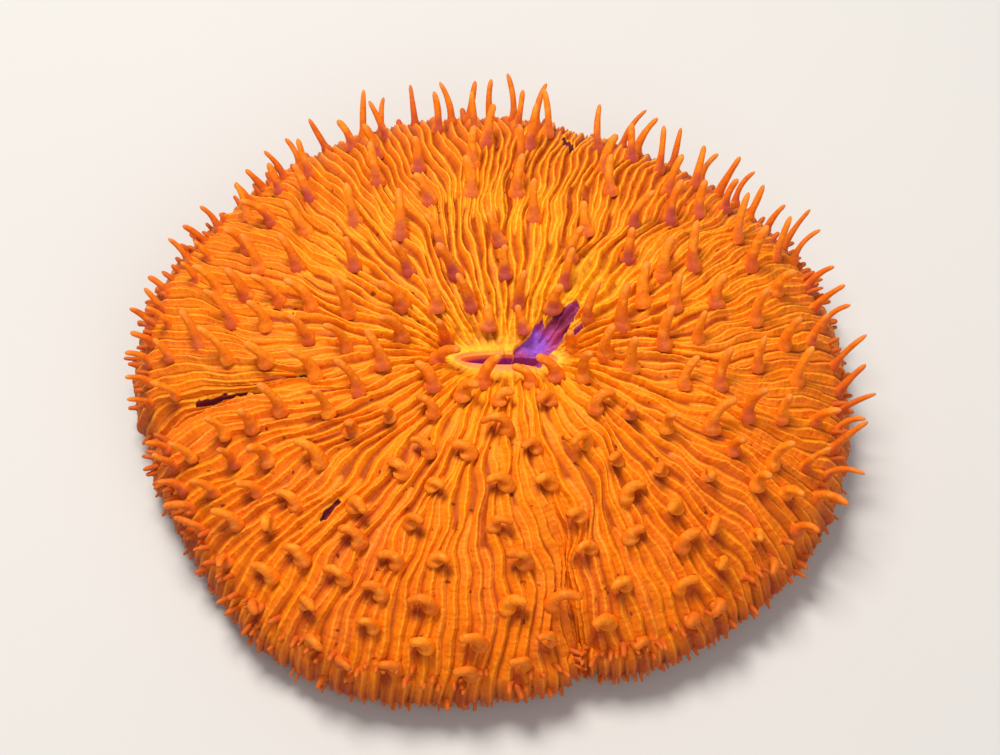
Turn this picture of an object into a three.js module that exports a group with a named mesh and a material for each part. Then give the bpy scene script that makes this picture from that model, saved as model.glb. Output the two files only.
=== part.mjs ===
// A mushroom coral: one solitary plate coral, a domed disc of radial ridges with short tentacles all over.
// Millimetres, +Z up. The origin is the middle of the flat underside it lies on, and +Y is its far side.
import * as THREE from "three";

// Driving dimensions of the disc
const rimHeight = 3.4; // from the ground to the widest line of the rim
const domeHeight = 11.4; // from the rim's widest line to the top of the dome
const domeRoundness = 2.5; // higher is flatter on top and steeper at the rim
const domeShoulder = 0.54; // lower is a fuller shoulder
const mouthDip = 1.5; // how far the dome sinks towards the mouth
const mouthDipReach = 0.13; // share of the radius
const footShare = 0.62; // the flat underside, as a share of the rim's outline

// The rim's widest line in plan, counter-clockwise from the right-hand end
const rimOutline = [
  [33.6, -1.6], [32.4, 8.9], [27.6, 18], [20, 24.8], [11, 29.9],
  [1, 32.5], [-9.2, 31.8], [-18.6, 28], [-26.5, 21.5], [-32.7, 13.4],
  [-35, 3.4], [-32.9, -6.7], [-28.2, -15.9], [-22.4, -24.2], [-13.6, -29.2],
  [-3.3, -30], [7, -28.6], [16.8, -25.5], [25.2, -19.6], [31.3, -11.6],
];
const rimLength = 206; // of that line

// Where the rim folds in: the place as a share of a turn, how deep, how wide, the valley above it, and the
// share by which the ridges beside it close up towards it
const notches = [
  { at: 0.806, depth: 1.9, width: 0.009, valley: 1.3, gather: 0.5 },
  { at: 0.537, depth: 1.4, width: 0.008, valley: 1, gather: 0.3 },
  { at: 0.214, depth: 0.3, width: 0.01, valley: 0.3, gather: 0.1 },
];

// The mouth, a slit across the middle
const mouthCentre = [0.8, 0.6];
const mouthHalfLength = 4.4;
const mouthHalfWidth = 0.55;
const mouthDepth = 2.2;

// The bare hollow at the right-hand end of the mouth
const hollow = { from: [2.6, 0.6], to: [7.2, 4.8], radius: 1.2, depth: 0.8 };

// Radial ridges. Each kind starts further out than the ones it grew between.
const ridgePlaces = 192;
const ridgeHeight = 0.85;
const ridgeKinds = [
  { every: 8, offset: 0, start: 0.02, spread: 0.03, height: 1 },
  { every: 8, offset: 4, start: 0.06, spread: 0.08, height: 0.96 },
  { every: 4, offset: 2, start: 0.26, spread: 0.16, height: 0.86 },
];
const ridgeFade = 0.06; // share of the radius over which a new ridge rises
const ridgeScatter = 0.34; // of the distance between two places

// The ridges swing counter-clockwise on their way out on the right, and clockwise on the left.
const swing = 0.021; // share of a turn
const swingPhase = 0.02;
const swingFrom = 0.22; // share of the radius

// Smaller sideways waves of the ridges: turns round the disc, turns along the radius, millimetres, phase
const waves = [
  [3, 0.7, 0.7, 2.1],
  [7, 1.6, 0.5, 4.4],
  [13, 2.7, 0.32, 1.3],
  [23, 4.6, 0.2, 5.2],
];

// Rings of the disc, as shares of the radius. A tentacle stands between two rings of one list, but not
// next to the rim itself. The outer list has twice as many points to a ring.
const innerRings = [0.05, 0.13, 0.21, 0.29];
const outerRings = [0.3, 0.41, 0.52, 0.63, 0.74, 0.84, 0.92, 0.975, 1];
const underRing = 0.9;

// Tentacles
const tentacleSpacing = 2.85;
const farSpacing = 1.3; // times that on the far side, where fewer stand
const rimSpacing = 0.68; // times that at the rim, but not at its near side
const tentacleClearance = 1.3; // between the middle lines of two tentacles
const tentacleLength = 4.1;
const rootRadius = 0.62;
const bendRadius = 0.43;
const rimThinning = 0.25; // those at the rim are thinner by this share
const drift = [-0.12, 0.42]; // how far the water leans them left and back
const leftShare = 0.65; // of those on the near side arch to the left

const turn = 2 * Math.PI;

// A repeatable number from 0 to 1 for each whole number.
function scatter(n) {
  const wave = Math.sin(n * 12.9898 + 4.137) * 43758.5453;
  return wave - Math.floor(wave);
}

function smooth(low, high, x) {
  const t = Math.min(1, Math.max(0, (x - low) / (high - low)));
  return t * t * (3 - 2 * t);
}

// How near a place round the rim is to another: 1 on it, falling to 0.
function nearness(place, centre, width) {
  const gap = Math.abs(place - centre - Math.round(place - centre));
  return Math.exp(-((gap / width) ** 2));
}

const rimCurve = new THREE.CatmullRomCurve3(
  rimOutline.map(([x, y]) => new THREE.Vector3(x, y, 0)),
  true,
  "catmullrom",
  0.5,
);

// The rim's widest line at a place round the disc, 0 to 1.
function rimPoint(place) {
  const wrapped = place - Math.floor(place);
  const point = rimCurve.getPoint(wrapped);
  for (const notch of notches) {
    const depth = notch.depth * nearness(wrapped, notch.at, notch.width);
    point.multiplyScalar(1 - depth / point.length());
  }
  return point;
}

// The lip of the mouth at the same place.
function lipPoint(place) {
  const angle = turn * place;
  return new THREE.Vector3(
    mouthCentre[0] + mouthHalfLength * Math.cos(angle),
    mouthCentre[1] + mouthHalfWidth * Math.sin(angle),
    0,
  );
}

// How far round the disc a ridge has moved at a radius, as a share of a turn.
function sway(place, radius) {
  let millimetres = 0;
  for (const [around, along, size, phase] of waves) {
    millimetres += size * Math.sin(turn * (around * place + along * radius) + phase);
  }
  const waved = (millimetres * smooth(0.05, 0.4, radius)) / (rimLength * (0.25 + radius));
  const swung = swing * Math.cos(turn * (place - swingPhase)) * smooth(swingFrom, 1.05, radius);
  let gathered = 0;
  for (const { at, width, gather } of notches) {
    const gap = place + swung - at;
    gathered -= gather * gap * nearness(place + swung, at, 4 * width) * smooth(0.35, 1, radius);
  }
  return waved + swung + gathered;
}

function domeTop(place, radius) {
  const dome = domeHeight * (1 - radius ** domeRoundness) ** domeShoulder;
  const dip = mouthDip * Math.exp(-((radius / mouthDipReach) ** 2));
  const roll = 0.45 * Math.sin(turn * (2 * place + 0.15)) + 0.3 * Math.sin(turn * (5 * place + 0.6));
  let valleys = 0;
  for (const notch of notches) {
    valleys += notch.valley * nearness(place, notch.at, 1.6 * notch.width);
  }
  const relief = roll * smooth(0.2, 0.8, radius) - valleys * smooth(0.35, 0.95, radius);
  return rimHeight + dome - dip + relief * smooth(0, 0.05, 1 - radius);
}

// The smooth disc without its ridges. side is 1 on top and -1 underneath.
function smoothPoint(place, radius, side) {
  const swung = place + sway(place, radius);
  const rim = rimPoint(swung);
  if (side < 0) {
    const inward = (radius - footShare) / (1 - footShare);
    rim.multiplyScalar(radius);
    rim.z = rimHeight * (1 - Math.sqrt(Math.max(0, 1 - inward * inward)));
    return rim;
  }
  const point = lipPoint(swung).lerp(rim, radius);
  point.z = domeTop(swung, radius);
  return point;
}

function smoothNormal(place, radius, side) {
  const step = 0.002;
  const around = smoothPoint(place + step, radius, side).sub(smoothPoint(place - step, radius, side));
  if (radius >= 1) return new THREE.Vector3(around.y, -around.x, 0).normalize();
  const outer = smoothPoint(place, Math.min(1, radius + step), side);
  const outward = outer.sub(smoothPoint(place, Math.max(0, radius - step), side));
  return outward.cross(around).multiplyScalar(side).normalize();
}

// A crest stands near its place, moved a little so that no two gaps are alike.
function crestPlace(index) {
  return (index + ridgeScatter * (scatter(index) - 0.5)) / ridgePlaces;
}

// How high the ridge at a place stands at a radius. Between ridges it is nothing.
function crestHeight(index, radius) {
  const kind = ridgeKinds.find(({ every, offset }) => index % every === offset);
  if (!kind) return 0;
  const start = kind.start + kind.spread * scatter(index + 500);
  const height = ridgeHeight * kind.height * (0.85 + 0.3 * scatter(index + 900));
  return height * smooth(start, start + ridgeFade, radius);
}

// How deep the bare hollow is at a point of the disc.
function hollowDepth(point) {
  const from = new THREE.Vector3(...hollow.from, point.z);
  const line = new THREE.Line3(from, new THREE.Vector3(...hollow.to, point.z));
  const away = line.closestPointToPoint(point, true, new THREE.Vector3()).distanceTo(point);
  return hollow.depth * (1 - smooth(0.6 * hollow.radius, 1.3 * hollow.radius, away));
}

function skinPoint(index, radius, side) {
  const place = crestPlace(index);
  const fade = side < 0 ? smooth(footShare, 1, radius) : 1;
  const point = smoothPoint(place, radius, side);
  point.addScaledVector(smoothNormal(place, radius, side), crestHeight(index, radius) * fade);
  if (side > 0) point.z -= hollowDepth(point);
  return point;
}

function throatPoint(index, share) {
  const lip = smoothPoint(crestPlace(index), 0, 1);
  lip.z -= mouthDepth * share;
  return lip;
}

function footPoint(index) {
  return rimPoint(crestPlace(index)).multiplyScalar(footShare);
}

// The rings of points, from the throat out over the rim and in again to the flat underside.
const ringPlan = [
  { every: 4, pointAt: (index) => throatPoint(index, 1) },
  { every: 4, pointAt: (index) => throatPoint(index, 0) },
  ...innerRings.map((radius) => ({ every: 2, radius, pointAt: (index) => skinPoint(index, radius, 1) })),
  ...outerRings.map((radius) => ({ every: 1, radius, pointAt: (index) => skinPoint(index, radius, 1) })),
  { every: 1, pointAt: (index) => skinPoint(index, underRing, -1) },
  { every: 2, pointAt: footPoint },
];

// Every place where a tentacle may stand: on a crest, between two rings.
function tentacleSites() {
  const sites = [];
  ringPlan.forEach((ring, n) => {
    const next = ringPlan[n + 1];
    if (!ring.radius || !next.radius || ring.every !== next.every || next.radius === 1) return;
    for (let index = 0; index < ridgePlaces; index += 2 * ring.every) {
      const seed = 1000 * n + index;
      const share = 0.3 + 0.4 * scatter(seed);
      const radius = THREE.MathUtils.lerp(ring.radius, next.radius, share);
      if (crestHeight(index, radius) > 0.2) sites.push({ ring: n, index, radius, share, seed });
    }
  });
  return sites.sort((a, b) => scatter(a.seed + 3000) - scatter(b.seed + 3000));
}

// The direction in plan from the mouth to a point.
function awayFromMouth(point) {
  return new THREE.Vector3(point.x - mouthCentre[0], point.y - mouthCentre[1], 0).normalize();
}

// Whether a place lies in the valley above a notch of the rim.
function inValley(place, radius) {
  const swung = place + sway(place, radius);
  return radius > 0.5 && notches.some(({ at, width }) => nearness(swung, at, 1.3 * width) > 0.3);
}

// Tentacles stand no nearer to each other than their spacing, and don't touch. They leave the bare hollow
// and the valleys free.
function tentacleLayout() {
  const chosen = [];
  for (const site of tentacleSites()) {
    const root = skinPoint(site.index, site.radius, 1);
    const outward = awayFromMouth(root);
    const midway = smooth(0.3, 0.5, site.radius) * (1 - smooth(0.72, 0.95, site.radius));
    const far = smooth(0.2, 0.8, outward.y) * midway;
    const rim = smooth(-0.7, -0.3, outward.y) * smooth(0.88, 0.94, site.radius);
    const atMouth = 1 - smooth(0.08, 0.2, site.radius);
    const spread = 1 - 0.25 * atMouth + (farSpacing - 1) * far + (rimSpacing - 1) * rim;
    const { pointAt } = tentacleAxis({ ...site, root });
    const reach = [0.1, 0.32, 0.55, 0.78, 1].map(pointAt);
    const crowded = chosen.some((other) => {
      const touches = other.reach.some((a) => reach.some((b) => a.distanceTo(b) < tentacleClearance));
      return touches || other.root.distanceTo(root) < tentacleSpacing * spread;
    });
    const free = hollowDepth(root) < 0.05 && !inValley(crestPlace(site.index), site.radius);
    if (!crowded && free) chosen.push({ ...site, root, reach });
  }
  return chosen;
}

// The middle line of a tentacle: it leaves its root in one direction and turns evenly towards another.
// On the near side they arch over sideways. The others stand up and lean with the water, those at the
// rim lean outward too, and those on the near lip of the mouth lean over it.
function tentacleAxis({ index, radius, seed, root }) {
  const outward = awayFromMouth(root);
  const sideways = new THREE.Vector3(-outward.y, outward.x, 0);
  const atMouth = 1 - smooth(0.05, 0.2, radius);
  const overLip = atMouth * smooth(-0.4, 0.1, -outward.y);
  const atRim = smooth(0.72, 0.95, radius);
  const near = smooth(0.2, 0.8, -outward.y) * (1 - atMouth);
  const left = smooth(0.3, 0.9, -outward.x);
  const hooked = near * (0.15 + 0.3 * scatter(seed + 78));
  const short = Math.max(hooked, 0.4 * (atMouth - overLip), atRim * Math.max(0.42 * near, 0.35 * left));
  const length = tentacleLength * (0.8 + 0.4 * scatter(seed + 70)) * (1 - short);
  const thick = 1 - rimThinning * atRim * (1 - near);

  const free = (1 - near) * (1 - overLip) * (1 - 0.5 * atRim);
  const bow = scatter(seed + 73) < leftShare ? -1 : 1;
  const away = 0.8 - 0.4 * free - 0.3 * near * (1 - atRim);
  const stand = smoothNormal(crestPlace(index), radius, 1).multiplyScalar(away);
  stand.add(new THREE.Vector3(drift[0] * free, drift[1] * (free + 1.2 * near), 0.5));
  stand.addScaledVector(outward, -0.3 * overLip);
  stand.addScaledVector(sideways, 0.5 * (scatter(seed + 71) - 0.5) * (1 - near) - 0.15 * near * bow);
  stand.normalize();

  const bending = 0.35 + 1.9 * near + (0.8 + 0.1 * near) * scatter(seed + 72);
  const over = outward.clone().multiplyScalar(1 - 1.9 * overLip - 0.75 * near);
  over.addScaledVector(sideways, 1.5 * (scatter(seed + 73) - 0.5) * (1 - near) + near * bow);
  over.projectOnPlane(stand).normalize();

  const mixed = (a, b) => stand.clone().multiplyScalar(a).addScaledVector(over, b);
  return {
    stand,
    thick,
    pointAt: (t) => {
      const reach = mixed(Math.sin(bending * t), 1 - Math.cos(bending * t));
      return root.clone().addScaledVector(reach, length / bending);
    },
    tangentAt: (t) => mixed(Math.cos(bending * t), Math.sin(bending * t)),
  };
}

const points = [];
const faces = [];

function addPoint(point) {
  points.push(point);
  return points.length - 1;
}

// Faces between two rings that have the same number of points, or one twice the other's.
function stitch(inner, outer) {
  const count = Math.min(inner.length, outer.length);
  const innerStep = inner.length / count;
  const outerStep = outer.length / count;
  for (let k = 0; k < count; k++) {
    const [a, b] = [inner[k * innerStep], inner[((k + 1) * innerStep) % inner.length]];
    const [c, d] = [outer[k * outerStep], outer[((k + 1) * outerStep) % outer.length]];
    if (innerStep === 2) {
      const middle = inner[k * 2 + 1];
      faces.push(a, c, middle, middle, c, d, middle, d, b);
    } else if (outerStep === 2) {
      const middle = outer[k * 2 + 1];
      faces.push(a, c, middle, a, middle, b, b, middle, d);
    } else {
      faces.push(a, c, d, a, d, b);
    }
  }
}

// Faces between a ring and the point at its middle. side is 1 where they face along the ring's turn.
function close(ring, middle, side) {
  const centre = addPoint(middle);
  ring.forEach((here, k) => {
    const next = ring[(k + 1) % ring.length];
    if (side > 0) faces.push(centre, here, next);
    else faces.push(centre, next, here);
  });
}

// The four sides of a tentacle: outward, left, inward, right.
const compass = [[1, 0], [0, 1], [-1, 0], [0, -1]];

// A tentacle on the crest of a cell. The corners run counter-clockwise from the outer end of the crest.
// In its own measure the cell is 1 long, and each of its two slopes is 1 wide.
function raiseTentacle(corners, site) {
  const [crestOuter, leftOuter, leftInner, crestInner, rightInner, rightOuter] = corners.map(
    (id) => points[id],
  );
  const axis = tentacleAxis(site);
  const along = rootRadius / crestOuter.distanceTo(crestInner);
  const share = THREE.MathUtils.clamp(site.share, along + 0.08, 0.92 - along);
  const crestAt = (x) => crestInner.clone().lerp(crestOuter, x);
  const slopeAt = (y) => {
    const [inner, outer] = y > 0 ? [leftInner, leftOuter] : [rightInner, rightOuter];
    return inner.clone().lerp(outer, share);
  };
  const rootPlan = compass.map(([out, left]) => {
    if (out) return [share + out * along, 0];
    return [share, left * Math.min(0.8, rootRadius / crestAt(share).distanceTo(slopeAt(left)))];
  });
  const root = rootPlan.map(([x, y]) => addPoint(crestAt(x).lerp(slopeAt(y), Math.abs(y))));

  const cellPlan = [[1.1, 0], [1, 1], [0, 1], [-0.1, 0], [0, -1], [1, -1]];
  const flat = (list) => list.map(([x, y]) => new THREE.Vector2(x, y));
  const ids = [...corners, ...root];
  const skin = THREE.ShapeUtils.triangulateShape(flat(cellPlan), [flat(rootPlan)]);
  skin.forEach((face) => faces.push(...face.map((n) => ids[n])));

  const centre = axis.pointAt(0.55);
  const tangent = axis.tangentAt(0.55);
  const swivel = new THREE.Quaternion().setFromUnitVectors(axis.stand, tangent);
  const outward = crestOuter.clone().sub(crestInner).applyQuaternion(swivel);
  outward.projectOnPlane(tangent).normalize();
  const left = tangent.clone().cross(outward);
  const bend = compass.map(([x, y]) => {
    const corner = centre.clone().addScaledVector(outward, x * bendRadius * axis.thick);
    return addPoint(corner.addScaledVector(left, y * bendRadius * axis.thick));
  });
  stitch(bend, root);
  close(bend, axis.pointAt(1), 1);
}

// The skin between two rings, with the tentacles that stand there.
function coverBelt(inner, outer, sites, every) {
  const count = inner.length;
  for (let k = 0; k < count; k += 2) {
    const [left, right] = [(k + 1) % count, (k + count - 1) % count];
    const corners = [outer[k], outer[left], inner[left], inner[k], inner[right], outer[right]];
    const site = sites.find(({ index }) => index === k * every);
    if (site) {
      raiseTentacle(corners, site);
    } else {
      const [a, b, c, d, e, f] = corners;
      faces.push(a, b, d, b, c, d, a, d, e, a, e, f);
    }
  }
}

const tentacles = tentacleLayout();
const rings = ringPlan.map(({ every, pointAt }) => {
  const ring = [];
  for (let index = 0; index < ridgePlaces; index += every) ring.push(addPoint(pointAt(index)));
  return ring;
});
ringPlan.forEach((plan, n) => {
  if (n + 1 === ringPlan.length) return;
  const sites = tentacles.filter(({ ring }) => ring === n);
  if (sites.length) coverBelt(rings[n], rings[n + 1], sites, plan.every);
  else stitch(rings[n], rings[n + 1]);
});
close(rings[0], new THREE.Vector3(...mouthCentre, points[rings[0][0]].z), 1);
close(rings[rings.length - 1], new THREE.Vector3(0, 0, 0), -1);

const coordinates = points.flatMap((point) => point.toArray());
const geometry = new THREE.BufferGeometry();
geometry.setAttribute("position", new THREE.Float32BufferAttribute(coordinates, 3));
geometry.setIndex(faces);
geometry.computeVertexNormals();

const tissue = new THREE.MeshStandardMaterial({ color: 0xf07812, roughness: 0.5, metalness: 0 });
const coral = new THREE.Mesh(geometry, tissue);
coral.name = "coral";

const part = new THREE.Group();
part.add(coral);

export default part;
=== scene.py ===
import math

import bpy
import numpy as np
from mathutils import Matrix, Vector


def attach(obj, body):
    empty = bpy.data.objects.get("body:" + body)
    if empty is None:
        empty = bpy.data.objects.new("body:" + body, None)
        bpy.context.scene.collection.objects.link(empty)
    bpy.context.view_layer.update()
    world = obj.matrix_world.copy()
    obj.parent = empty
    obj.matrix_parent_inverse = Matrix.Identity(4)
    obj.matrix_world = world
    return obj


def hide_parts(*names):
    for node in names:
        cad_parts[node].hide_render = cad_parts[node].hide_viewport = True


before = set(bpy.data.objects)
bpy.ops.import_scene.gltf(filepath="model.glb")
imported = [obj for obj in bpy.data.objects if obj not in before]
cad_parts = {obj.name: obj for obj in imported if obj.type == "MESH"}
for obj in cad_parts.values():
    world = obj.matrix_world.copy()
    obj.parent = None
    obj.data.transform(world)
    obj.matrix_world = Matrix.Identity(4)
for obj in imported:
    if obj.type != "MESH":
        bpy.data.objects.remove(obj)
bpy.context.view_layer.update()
print("solid loaded")

mm = 0.001
turn = 2 * math.pi
farOff = 99.0  # in millimetres, more than anything reaches

# The disc as the solid has it, in millimetres. A place round it is a share of a turn, and a radius
# is 0 at the lip of the mouth and 1 at the rim.
disc = {
    "rimHeight": 3.4,
    "domeHeight": 11.4,
    "domeRoundness": 2.5,
    "domeShoulder": 0.54,
    "mouthDip": 1.5,
    "mouthDipReach": 0.13,
    "footShare": 0.62,
    "outline": [
        (33.6, -1.6), (32.4, 8.9), (27.6, 18), (20, 24.8), (11, 29.9),
        (1, 32.5), (-9.2, 31.8), (-18.6, 28), (-26.5, 21.5), (-32.7, 13.4),
        (-35, 3.4), (-32.9, -6.7), (-28.2, -15.9), (-22.4, -24.2), (-13.6, -29.2),
        (-3.3, -30), (7, -28.6), (16.8, -25.5), (25.2, -19.6), (31.3, -11.6),
    ],
    "mouth": (0.8, 0.6),
    "mouthHalf": (4.4, 0.55),
    "mouthDepth": 2.2,
}

outlineLength = 206
discRadius = outlineLength / turn

# Where the rim folds in: place, depth, width, the valley above it, and how far ridges gather to it
notches = [
    (0.806, 1.9, 0.009, 1.3, 0.5),
    (0.537, 1.4, 0.008, 1, 0.3),
    (0.214, 0.3, 0.01, 0.3, 0.1),
]

ridgeCount = 192
ridges = {
    "height": 0.85,
    # every, offset, where they stand up, spread of that, height
    "kinds": [
        (8, 0, 0.02, 0.03, 1), (8, 4, 0.06, 0.08, 0.96),
        (4, 2, 0.26, 0.16, 0.86), (2, 1, 0.34, 0.4, 0.74),
    ],
    "fade": 0.06,  # how much further out they have their full height
    "scatter": 0.34,
    "swing": 0.021,  # how far they swing sideways towards the rim, as a share of a turn
    "swingPhase": 0.02,
    "swingFrom": 0.22,
    # turns round the disc, turns along the radius, millimetres, phase
    "waves": [(3, 0.7, 0.7, 2.1), (7, 1.6, 0.5, 4.4), (13, 2.7, 0.32, 1.3), (23, 4.6, 0.2, 5.2)],
    # low ridges of the flesh show before they stand up: from where, spread, height
    "firstSigns": [(0, 0.01, 0.4), (0, 0.03, 0.4), (0.03, 0.08, 0.36), (0.3, 0.36, 0.3)],
}

# The bare hollow beside the mouth, as the solid has it
hollow = {"from": (2.6, 0.6), "to": (7.2, 4.8), "radius": 1.2, "depth": 0.8}


def scatter(n):
    wave = np.sin(np.asarray(n, float) * 12.9898 + 4.137) * 43758.5453
    return wave - np.floor(wave)


def smooth(low, high, x):
    t = np.clip((x - low) / (high - low), 0, 1)
    return t * t * (3 - 2 * t)


def mix(a, b, share):
    return a + (b - a) * share


def unit(vectors):
    return vectors / np.linalg.norm(vectors, axis=-1, keepdims=True)


# A direction made square to another
def squareTo(direction, vectors):
    return unit(vectors - direction * np.sum(vectors * direction, axis=-1, keepdims=True))


# Level vectors a quarter of a turn to the left
def leftOf(vectors):
    return np.stack([-vectors[..., 1], vectors[..., 0], 0 * vectors[..., 0]], axis=-1)


def nearness(place, centre, width):
    gap = place - centre
    gap = gap - np.round(gap)
    return np.exp(-((gap / width) ** 2))


# The rim's widest line, a closed smooth curve through the points of the outline
def rimPoint(place):
    corners = np.array(disc["outline"], float)
    wrapped = place - np.floor(place)
    spot = wrapped * len(corners)
    index = np.floor(spot).astype(int)
    t = (spot - index)[..., None]
    before, here, after, beyond = [corners[(index + k) % len(corners)] for k in (-1, 0, 1, 2)]
    leaving = (after - before) / 2
    arriving = (beyond - here) / 2
    point = (2 * here - 2 * after + leaving + arriving) * t**3
    point += (3 * after - 3 * here - 2 * leaving - arriving) * t**2 + leaving * t + here
    for at, depth, width, valley, gather in notches:
        dent = depth * nearness(wrapped, at, width)
        point = point * (1 - dent / np.linalg.norm(point, axis=-1))[..., None]
    return point


def lipPoint(place):
    angle = turn * place
    return disc["mouth"] + disc["mouthHalf"] * np.stack([np.cos(angle), np.sin(angle)], axis=-1)


# How far round the disc a ridge has moved at a radius
def sway(place, radius):
    millimetres = 0
    for around, along, size, phase in ridges["waves"]:
        millimetres = millimetres + size * np.sin(turn * (around * place + along * radius) + phase)
    waved = millimetres * smooth(0.05, 0.4, radius) / (outlineLength * (0.25 + radius))
    swung = ridges["swing"] * np.cos(turn * (place - ridges["swingPhase"]))
    swung = swung * smooth(ridges["swingFrom"], 1.05, radius)
    gathered = 0
    for at, depth, width, valley, gather in notches:
        gap = place + swung - at
        close = nearness(place + swung, at, 4 * width) * smooth(0.35, 1, radius)
        gathered = gathered - gather * gap * close
    return waved + swung + gathered


def domeTop(place, radius):
    dome = disc["domeHeight"] * (1 - radius ** disc["domeRoundness"]) ** disc["domeShoulder"]
    dip = disc["mouthDip"] * np.exp(-((radius / disc["mouthDipReach"]) ** 2))
    roll = 0.45 * np.sin(turn * (2 * place + 0.15)) + 0.3 * np.sin(turn * (5 * place + 0.6))
    valleys = 0
    for at, depth, width, valley, gather in notches:
        valleys = valleys + valley * nearness(place, at, 1.6 * width)
    relief = roll * smooth(0.2, 0.8, radius) - valleys * smooth(0.35, 0.95, radius)
    return disc["rimHeight"] + dome - dip + relief * smooth(0, 0.05, 1 - radius)


def bevelHeight(radius):
    inward = np.maximum(0, (radius - disc["footShare"]) / (1 - disc["footShare"]))
    return disc["rimHeight"] * (1 - np.sqrt(np.clip(1 - inward**2, 0, 1)))


# The disc without its ridges. side is 1 on top and -1 underneath.
def smoothPoint(place, radius, side):
    swung = place + sway(place, radius)
    rim = rimPoint(swung)
    if side < 0:
        plan, height = rim * radius[..., None], bevelHeight(radius)
    else:
        plan, height = mix(lipPoint(swung), rim, radius[..., None]), domeTop(swung, radius)
    return np.concatenate([plan, np.broadcast_to(height, plan.shape[:-1])[..., None]], axis=-1)


# The normal there, and how many millimetres one turn would be
def smoothNormal(place, radius, side):
    step = 0.002
    around = smoothPoint(place + step, radius, side) - smoothPoint(place - step, radius, side)
    outer = smoothPoint(place, np.minimum(1, radius + step), side)
    outward = outer - smoothPoint(place, np.maximum(0, radius - step), side)
    normal = np.cross(outward, around) * side
    normal = np.where((radius >= 1)[..., None], -leftOf(around), normal)
    return unit(normal), np.linalg.norm(around, axis=-1) / (2 * step)


def crestPlace(index):
    return (index + ridges["scatter"] * (scatter(index % ridgeCount) - 0.5)) / ridgeCount


# For each ridge: where its low flesh starts, where it stands up, its low height and its full height
def ridgeFacts():
    index = np.arange(ridgeCount)
    sign, start, low, full = np.zeros((4, len(index)))
    for (every, offset, begins, spread, share), first in zip(ridges["kinds"], ridges["firstSigns"]):
        chosen = index % every == offset
        sign[chosen] = (first[0] + first[1] * scatter(index + 540))[chosen]
        start[chosen] = (begins + spread * scatter(index + 500))[chosen]
        low[chosen] = ridges["height"] * first[2]
        full[chosen] = (ridges["height"] * share * (0.85 + 0.3 * scatter(index + 900)))[chosen]
    return sign, start, low, full


ridgeSign, ridgeStart, ridgeLow, ridgeFull = ridgeFacts()


# How high a ridge of the solid stands
def crestHeight(index, radius):
    start = ridgeStart[index % ridgeCount]
    return ridgeFull[index % ridgeCount] * smooth(start, start + ridges["fade"], radius)


# How far points of the plan are from the line between two others
def lineDistance(plan, start, end):
    start, end = np.array(start, float), np.array(end, float)
    along = np.clip(((plan - start) @ (end - start)) / ((end - start) @ (end - start)), 0, 1)
    return np.linalg.norm(plan - start - along[..., None] * (end - start), axis=-1)


def hollowDepth(plan):
    away = lineDistance(plan, hollow["from"], hollow["to"])
    return hollow["depth"] * (1 - smooth(0.6 * hollow["radius"], 1.3 * hollow["radius"], away))


# Numbers from -1 to 1 that vary smoothly over the plan, one hill or dip to each size in millimetres
def rollingNoise(plan, size, seed):
    x, y = plan[..., 0] / size, plan[..., 1] / size
    left, low = np.floor(x), np.floor(y)
    u, v = x - left, y - low
    u, v = u * u * (3 - 2 * u), v * v * (3 - 2 * v)
    corner = [[scatter((left + i) * 127.1 + (low + j) * 311.7 + seed) for j in (0, 1)] for i in (0, 1)]
    near = mix(corner[0][0], corner[1][0], u)
    far = mix(corner[0][1], corner[1][1], u)
    return 2 * mix(near, far, v) - 1


def rgb(colour):
    shares = [value / 255 for value in colour]
    return tuple(v / 12.92 if v <= 0.04045 else ((v + 0.055) / 1.055) ** 2.4 for v in shares)


# What the flesh does between the ridges of the solid. Lengths are in millimetres.
flesh = {
    # shares of the way from a ridge to the next where the columns of points stand
    "columns": (0, 0.14, 0.34, 0.5, 0.66, 0.86),
    "pairColumns": (0, 0.12, 0.3, 0.62, 1, 1.38, 1.7, 1.88),  # from one even ridge to the next
    "seam": 0.36,  # the radius where the columns change
    "ridgeShare": 0.37,  # width of a ridge, of the distance between ridges
    "ridgePower": 2.1,
    "grooveShare": 0.76,  # depth of the grooves, of the height of the ridges
    "lowReach": 3,  # how far the low flesh beside a ridge reaches, in its widths
    "leaning": 0.45,  # how much steeper the ridges are on one side
    "leaningPhase": 0.125,
    "crestLine": 0.1,  # half the width of the bright line along a crest
    # finer ridges between the others, lower on the near side, and gone near the far rim
    "fineRidge": 0.58,
    "fineWidth": 0.4,
    "fineFrom": (0.36, 0.46),
    "fineNear": ((-0.75, -0.1), 0.3),
    "fineFar": ((0.55, 0.9), (0.55, 0.75), 0.15),
    "wander": ((4.3, 0.08), (1.5, 0.02)),  # wavelength and size of a crest's own bends
    "beads": ((2.3, 0.08), (0.85, 0.07)),  # wavelength and share of its own highs and lows
    "ringGap": 0.34,
    "rimRingGap": 0.16,
    "rimReach": 1.8,  # how far from its widest line the rim has close rings
    "wall": (-3.0, -1.6),  # where the small ridges of the rim come in, before its widest line
    "wallRidge": 0.6,
    "wallWidth": 0.5,
    "swell": (3.4, 0.14),  # size and height of the slow swells of the skin
    "lipHeight": 0.22,
    "underTurn": 0.93,  # the underside's piece starts here
}


# A slow wave of its own for each ridge
def ownWave(index, radius, waves, seed):
    total = 0
    for n, (wavelength, size) in enumerate(waves):
        phase = scatter(index * 3 + seed + 37 * n)
        total = total + size * np.sin(turn * (radius * discRadius / wavelength + phase))
    return total


# Where the columns of points stand, counted in ridges
def columnSpots(columns, pairs=False):
    first = np.arange(0, ridgeCount, 2 if pairs else 1)
    return (first[:, None] + np.array(columns)).ravel()


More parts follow.
